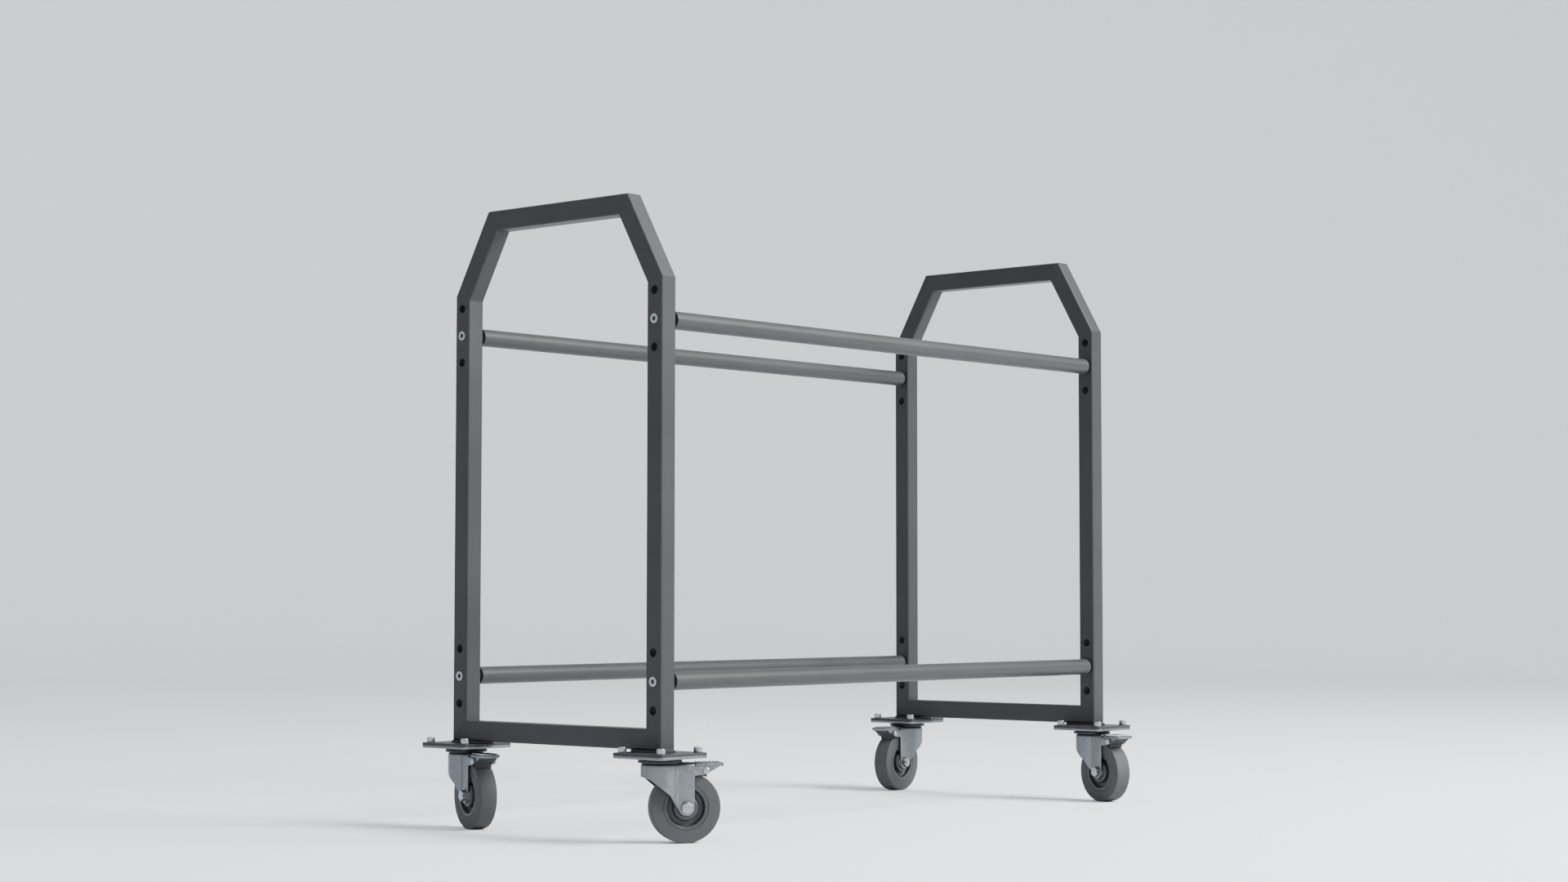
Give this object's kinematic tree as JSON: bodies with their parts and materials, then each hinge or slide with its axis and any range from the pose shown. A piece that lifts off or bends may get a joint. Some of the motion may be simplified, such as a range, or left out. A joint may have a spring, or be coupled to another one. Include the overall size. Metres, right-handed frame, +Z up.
{
  "type": "tyre storage rack",
  "caption": "Rolling rack for standing tyres: two square-tube end frames joined by round rails, on braked swivel casters.",
  "frame": {"origin": "on the floor, midway between the four casters' swivel axes", "axes": "+X along the rails to the right-hand end frame, +Y across the rack to its rear, +Z up"},
  "size_m": [1.487, 0.6883, 1.178],
  "materials": {
    "frame_paint": "satin",
    "rail_paint": "satin",
    "plug_nylon": "matte",
    "zinc_small": "satin",
    "zinc_bolt": "satin",
    "zinc_plate": "satin",
    "bearing_dark": "matte",
    "tread_rubber": "matte",
    "hub_plastic": "satin",
    "bush_nylon": "matte",
    "pedal_zinc": "satin",
    "shoe_rubber": "matte"
  },
  "bodies": {
    "rack": {"left_base_rail": "frame_paint", "left_rear_upright": "frame_paint", "left_rear_shoulder": "frame_paint", "left_top_rail": "frame_paint", "left_front_shoulder": "frame_paint", "left_front_upright": "frame_paint", "right_base_rail": "frame_paint", "right_rear_upright": "frame_paint", "right_rear_shoulder": "frame_paint", "right_top_rail": "frame_paint", "right_front_shoulder": "frame_paint", "right_front_upright": "frame_paint", "upper_front_rail": "rail_paint", "upper_rear_rail": "rail_paint", "lower_front_rail": "rail_paint", "lower_rear_rail": "rail_paint", "rail_end_plugs": "plug_nylon", "rail_spacers": "zinc_small", "rail_bolts": "zinc_bolt", "foot_pads": "frame_paint", "adapter_plates": "frame_paint", "caster_plates": "zinc_plate", "plate_screws": "zinc_bolt", "kingpins": "zinc_small"},
    "left_front_swivel": {"left_front_fork": "zinc_plate", "left_front_swivel_bearing": "bearing_dark", "left_front_axle": "zinc_bolt", "left_front_pedal_pivot": "zinc_bolt"},
    "left_front_wheel": {"left_front_tread": "tread_rubber", "left_front_hub": "hub_plastic", "left_front_hub_bearing": "bush_nylon"},
    "left_front_pedal": {"left_front_brake_pedal": "pedal_zinc", "left_front_brake_shoe": "shoe_rubber"},
    "left_rear_swivel": {"left_rear_fork": "zinc_plate", "left_rear_swivel_bearing": "bearing_dark", "left_rear_axle": "zinc_bolt", "left_rear_pedal_pivot": "zinc_bolt"},
    "left_rear_wheel": {"left_rear_tread": "tread_rubber", "left_rear_hub": "hub_plastic", "left_rear_hub_bearing": "bush_nylon"},
    "left_rear_pedal": {"left_rear_brake_pedal": "pedal_zinc", "left_rear_brake_shoe": "shoe_rubber"},
    "right_front_swivel": {"right_front_fork": "zinc_plate", "right_front_swivel_bearing": "bearing_dark", "right_front_axle": "zinc_bolt", "right_front_pedal_pivot": "zinc_bolt"},
    "right_front_wheel": {"right_front_tread": "tread_rubber", "right_front_hub": "hub_plastic", "right_front_hub_bearing": "bush_nylon"},
    "right_front_pedal": {"right_front_brake_pedal": "pedal_zinc", "right_front_brake_shoe": "shoe_rubber"},
    "right_rear_swivel": {"right_rear_fork": "zinc_plate", "right_rear_swivel_bearing": "bearing_dark", "right_rear_axle": "zinc_bolt", "right_rear_pedal_pivot": "zinc_bolt"},
    "right_rear_wheel": {"right_rear_tread": "tread_rubber", "right_rear_hub": "hub_plastic", "right_rear_hub_bearing": "bush_nylon"},
    "right_rear_pedal": {"right_rear_brake_pedal": "pedal_zinc", "right_rear_brake_shoe": "shoe_rubber"}
  },
  "joints": [
    {"name": "left_front_swivel_turn", "type": "hinge", "parent": "rack", "child": "left_front_swivel", "pos_m": [-0.681, -0.256, 0.15], "axis": [0, 0, 1], "continuous": true},
    {"name": "left_front_wheel_spin", "type": "hinge", "parent": "left_front_swivel", "child": "left_front_wheel", "pos_m": [-0.64455, -0.28152, 0.064], "axis": [0.5736, 0.8192, 0], "continuous": true},
    {"name": "left_front_pedal_press", "type": "hinge", "parent": "left_front_swivel", "child": "left_front_pedal", "pos_m": [-0.61547, -0.30189, 0.13], "axis": [0.5736, 0.8192, 0], "range_deg": [0, 12]},
    {"name": "left_rear_swivel_turn", "type": "hinge", "parent": "rack", "child": "left_rear_swivel", "pos_m": [-0.681, 0.256, 0.15], "axis": [0, 0, 1], "continuous": true},
    {"name": "left_rear_wheel_spin", "type": "hinge", "parent": "left_rear_swivel", "child": "left_rear_wheel", "pos_m": [-0.69549, 0.21392, 0.064], "axis": [0.9455, -0.3256, 0], "continuous": true},
    {"name": "left_rear_pedal_press", "type": "hinge", "parent": "left_rear_swivel", "child": "left_rear_pedal", "pos_m": [-0.70705, 0.18036, 0.13], "axis": [0.9455, -0.3256, 0], "range_deg": [0, 12]},
    {"name": "right_front_swivel_turn", "type": "hinge", "parent": "rack", "child": "right_front_swivel", "pos_m": [0.681, -0.256, 0.15], "axis": [0, 0, 1], "continuous": true},
    {"name": "right_front_wheel_spin", "type": "hinge", "parent": "right_front_swivel", "child": "right_front_wheel", "pos_m": [0.66799, -0.29856, 0.064], "axis": [0.9563, -0.2924, 0], "continuous": true},
    {"name": "right_front_pedal_press", "type": "hinge", "parent": "right_front_swivel", "child": "right_front_pedal", "pos_m": [0.65761, -0.3325, 0.13], "axis": [0.9563, -0.2924, 0], "range_deg": [0, 12]},
    {"name": "right_rear_swivel_turn", "type": "hinge", "parent": "rack", "child": "right_rear_swivel", "pos_m": [0.681, 0.256, 0.15], "axis": [0, 0, 1], "continuous": true},
    {"name": "right_rear_wheel_spin", "type": "hinge", "parent": "right_rear_swivel", "child": "right_rear_wheel", "pos_m": [0.63661, 0.2529, 0.064], "axis": [0.0698, -0.9976, 0], "continuous": true},
    {"name": "right_rear_pedal_press", "type": "hinge", "parent": "right_rear_swivel", "child": "right_rear_pedal", "pos_m": [0.6012, 0.25042, 0.13], "axis": [0.0698, -0.9976, 0], "range_deg": [0, 12]}
  ]
}
